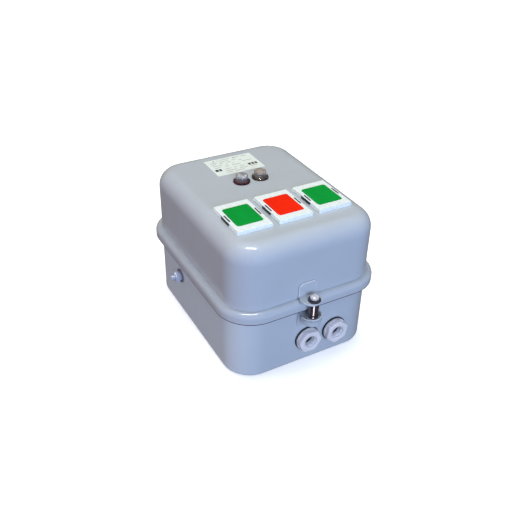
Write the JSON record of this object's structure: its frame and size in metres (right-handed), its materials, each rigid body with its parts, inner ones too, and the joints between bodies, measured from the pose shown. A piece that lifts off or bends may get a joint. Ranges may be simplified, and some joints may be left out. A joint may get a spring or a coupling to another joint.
{
  "type": "enclosed magnetic motor starter",
  "caption": "Wall-mounted reversing motor starter in a deep rounded steel box with a hinged cover, square push buttons, signal lamps, cable glands and a screw-down closure.",
  "frame": {"origin": "centre of the base's flat back face, on the wall plane", "axes": "+Z out of the wall towards the cover, +Y towards the hinge side, -Y towards the cable glands and the closure screw, -X towards the earth terminal"},
  "size_m": [0.1854, 0.2502, 0.1645],
  "materials": {
    "enclosure_paint": "glossy grey-blue powder paint",
    "rubber_black": "matt black seal rubber",
    "label_film": "matt white film",
    "zinc_steel": "bright zinc plate",
    "dark_steel": "dark polished plate",
    "gland_plastic": "light grey moulded plastic",
    "bezel_white": "white moulded plastic",
    "cap_green": "green moulded plastic",
    "cap_red": "red moulded plastic",
    "block_grey": "dark grey moulded plastic",
    "spring_steel": "bright spring wire",
    "silvered_brass": "part-silvered brass",
    "lens_clear": "clear moulded lens",
    "lamp_holder_plastic": "black moulded plastic",
    "lamp_glass": "tinted lamp glass",
    "contactor_moulding": "charcoal moulding",
    "contactor_front": "light grey moulding",
    "core_steel": "bare laminated steel",
    "coil_tape": "yellow insulating tape",
    "carrier_moulding": "rust-red moulding",
    "copper_bar": "copper with a silver tip",
    "relay_moulding": "charcoal moulding",
    "dial_yellow": "yellow moulding",
    "reset_blue": "blue moulding",
    "link_copper": "bare copper bar",
    "block_beige": "beige moulding"
  },
  "bodies": {
    "base": {"base_shell": "enclosure_paint", "mounting_plate": "zinc_steel", "chassis_screws": "zinc_steel", "hinge_base_leaf": "enclosure_paint", "hinge_pin": "zinc_steel", "latch_base_lug": "enclosure_paint", "latch_post": "dark_steel", "gland_bodies": "gland_plastic", "gland_caps": "gland_plastic", "gland_seals": "gland_plastic", "gland_gaskets": "rubber_black", "gland_locknuts": "gland_plastic", "earth_terminal": "zinc_steel", "fixed_cores": "core_steel", "coils": "coil_tape", "fixed_contacts": "copper_bar", "terminal_screws": "zinc_steel", "interlock_module": "contactor_front", "overload_housing": "relay_moulding", "busbar_links": "link_copper", "terminal_block": "block_beige", "return_spring_forward": "spring_steel", "return_spring_reverse": "spring_steel", "contactor_base_forward": "contactor_moulding", "contactor_head_forward": "contactor_front", "contactor_base_reverse": "contactor_moulding", "contactor_head_reverse": "contactor_front"},
    "cover": {"cover_shell": "enclosure_paint", "cover_gasket": "rubber_black", "hinge_cover_leaf": "enclosure_paint", "latch_cover_lug": "enclosure_paint", "rating_label": "label_film", "lamp_lenses": "lens_clear", "lamp_holders": "lamp_holder_plastic", "lamp_bulbs": "lamp_glass", "bezel_forward": "bezel_white", "button_spring_forward": "spring_steel", "contact_block_forward": "block_grey", "bezel_stop": "bezel_white", "button_spring_stop": "spring_steel", "contact_block_stop": "block_grey", "bezel_reverse": "bezel_white", "button_spring_reverse": "spring_steel", "contact_block_reverse": "block_grey"},
    "closure_washer": {"closure_washer": "zinc_steel"},
    "closure_screw": {"closure_screw": "zinc_steel"},
    "overload_dial": {"overload_dial": "dial_yellow"},
    "overload_reset": {"overload_reset": "reset_blue"},
    "forward_button": {"cap_forward": "cap_green", "contact_bridge_forward": "silvered_brass"},
    "stop_button": {"cap_stop": "cap_red", "contact_bridge_stop": "silvered_brass"},
    "reverse_button": {"cap_reverse": "cap_green", "contact_bridge_reverse": "silvered_brass"},
    "forward_armature": {"armature_core_forward": "core_steel", "contact_carrier_forward": "carrier_moulding", "moving_contacts_forward": "copper_bar"},
    "reverse_armature": {"armature_core_reverse": "core_steel", "contact_carrier_reverse": "carrier_moulding", "moving_contacts_reverse": "copper_bar"}
  },
  "joints": [
    {"name": "cover_hinge", "type": "hinge", "parent": "base", "child": "cover", "pos_m": [0, 0.12, 0.076], "axis": [-1, 0, 0], "range_deg": [0, 110]},
    {"name": "screw_lift", "type": "slide", "parent": "cover", "child": "closure_washer", "axis": [0, 0, 1], "range_m": [0, 0.0101]},
    {"name": "screw_turn", "type": "hinge", "parent": "closure_washer", "child": "closure_screw", "pos_m": [-0.0044, -0.1192, 0.09], "axis": [0, 0, 1], "range_deg": [0, 3600]},
    {"name": "forward_armature_slide", "type": "slide", "parent": "base", "child": "forward_armature", "axis": [0, 0, -1], "range_m": [0, 0.0044], "stiffness_N_per_m": 1500, "springref_m": -0.005, "deforming": ["return_spring_forward"]},
    {"name": "reverse_armature_slide", "type": "slide", "parent": "base", "child": "reverse_armature", "axis": [0, 0, -1], "range_m": [0, 0.0044], "stiffness_N_per_m": 1500, "springref_m": -0.005, "deforming": ["return_spring_reverse"]},
    {"name": "overload_dial_turn", "type": "hinge", "parent": "base", "child": "overload_dial", "pos_m": [-0.0435, -0.032, 0.07], "axis": [0, 0, 1], "range_deg": [-135, 135]},
    {"name": "overload_reset_press", "type": "slide", "parent": "base", "child": "overload_reset", "axis": [0, 0, -1], "range_m": [0, 0.002], "stiffness_N_per_m": 600, "springref_m": -0.002},
    {"name": "forward_button_press", "type": "slide", "parent": "cover", "child": "forward_button", "axis": [0, 0, -1], "range_m": [0, 0.003], "stiffness_N_per_m": 700, "springref_m": -0.003, "deforming": ["button_spring_forward"]},
    {"name": "stop_button_press", "type": "slide", "parent": "cover", "child": "stop_button", "axis": [0, 0, -1], "range_m": [0, 0.003], "stiffness_N_per_m": 700, "springref_m": -0.003, "deforming": ["button_spring_stop"]},
    {"name": "reverse_button_press", "type": "slide", "parent": "cover", "child": "reverse_button", "axis": [0, 0, -1], "range_m": [0, 0.003], "stiffness_N_per_m": 700, "springref_m": -0.003, "deforming": ["button_spring_reverse"]}
  ],
  "couplings": [
    {"joint": "screw_turn", "follows": "screw_lift", "rad_per_m": 6220.9}
  ]
}
